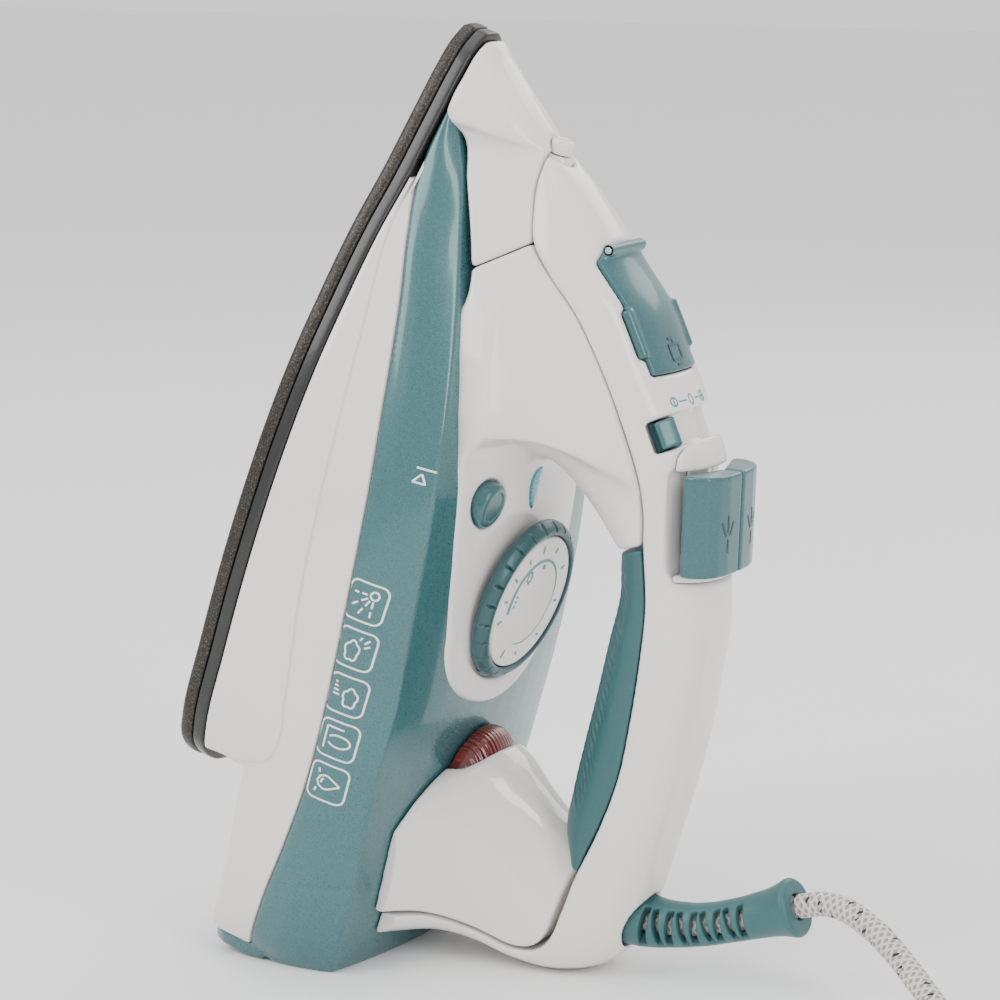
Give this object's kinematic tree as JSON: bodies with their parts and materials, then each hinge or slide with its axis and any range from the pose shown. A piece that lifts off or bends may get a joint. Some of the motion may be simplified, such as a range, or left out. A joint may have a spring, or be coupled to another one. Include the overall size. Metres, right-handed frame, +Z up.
{
  "type": "steam iron",
  "caption": "Steam iron standing on its heel: teal water tank, open loop handle, temperature dial, steam lever, spray buttons, flexing cord guard and a stored cord with its plug.",
  "frame": {"origin": "on the floor, under the middle of the iron standing on its heel, its cord left out", "axes": "+Z up, from the heel to the nose; +X towards the handle side; +Y towards the iron's right-hand side"},
  "size_m": [0.378, 0.126, 0.2931],
  "materials": {
    "soleplate": "dark speckled non-stick coat over cast aluminium",
    "steel": "plain steel",
    "mould": "natural moulded plastic",
    "black_band": "black, slightly rough",
    "white_shell": "off-white, glossy",
    "gloss_white": "off-white, highly polished",
    "tank_teal": "translucent teal with a fine metallic flake",
    "grip_teal": "teal, satin",
    "button_teal": "teal, metallic flake",
    "dial_teal": "dark teal, knurled",
    "guard_teal": "soft teal moulding",
    "red_lens": "dark red translucent lens",
    "brass": "plain brass",
    "textile": "braided white cotton with black flecks"
  },
  "bodies": {
    "iron": {"burst_pump": "mould", "burst_pump_spring": "steel", "cap_hinge_pin": "steel", "chamber_screw_front_left": "steel", "chamber_screw_front_right": "steel", "chamber_screw_rear_left": "steel", "chamber_screw_rear_right": "steel", "coil_tie": "black_band", "control_panel": "white_shell", "cord": "textile", "cord_coil": "textile", "cord_guard": "guard_teal", "cord_tail": "textile", "dial_panel": "white_shell", "dial_pointer": "tank_teal", "drip_valve": "brass", "fill_funnel": "mould", "grip": "grip_teal", "handle_shell": "white_shell", "heat_shield": "white_shell", "heating_element": "steel", "heel_screw": "steel", "nose_cover": "white_shell", "nozzle_collar": "white_shell", "nozzle_hose": "mould", "pilot_lamp": "steel", "pilot_lens": "red_lens", "plug_body": "black_band", "plug_pin_earth": "brass", "plug_pin_line": "brass", "plug_pin_neutral": "brass", "rear_column": "gloss_white", "sole_band": "black_band", "soleplate": "soleplate", "spray_nozzle": "white_shell", "spray_pump": "mould", "spray_pump_spring": "steel", "steam_chamber_cover": "steel", "terminal_block": "mould", "thermal_fuse": "mould", "thermostat": "mould", "upper_skirt": "white_shell", "water_tank": "tank_teal"},
    "dial": {"dial_ring": "dial_teal", "dial_disc": "white_shell", "dial_spindle": "steel"},
    "lever": {"steam_lever": "button_teal"},
    "spray": {"spray_button": "button_teal"},
    "burst": {"burst_button": "button_teal"},
    "clean": {"self_clean_button": "button_teal"},
    "cap": {"filler_cap": "button_teal"}
  },
  "joints": [
    {"name": "dial_turn", "type": "hinge", "parent": "iron", "child": "dial", "pos_m": [0.00633, 0, 0.11663], "axis": [0.9511, 0, -0.309], "range_deg": [-135, 135]},
    {"name": "lever_swing", "type": "hinge", "parent": "iron", "child": "lever", "pos_m": [0.05008, 0, 0.16908], "axis": [0.3833, 0, -0.9236], "range_deg": [-79, 0]},
    {"name": "spray_press", "type": "slide", "parent": "iron", "child": "spray", "axis": [-0.9993, 0, 0.0386], "range_m": [0, 0.0045], "stiffness_N_per_m": 600, "springref_m": -0.003},
    {"name": "burst_press", "type": "slide", "parent": "iron", "child": "burst", "axis": [-0.9993, 0, 0.0386], "range_m": [0, 0.0045], "stiffness_N_per_m": 600, "springref_m": -0.003},
    {"name": "clean_press", "type": "slide", "parent": "iron", "child": "clean", "axis": [-0.9511, 0, 0.309], "range_m": [0, 0.003], "stiffness_N_per_m": 500, "springref_m": -0.002},
    {"name": "cap_open", "type": "hinge", "parent": "iron", "child": "cap", "pos_m": [0.04324, 0, 0.22829], "axis": [0, -1, 0], "range_deg": [0, 100]}
  ]
}
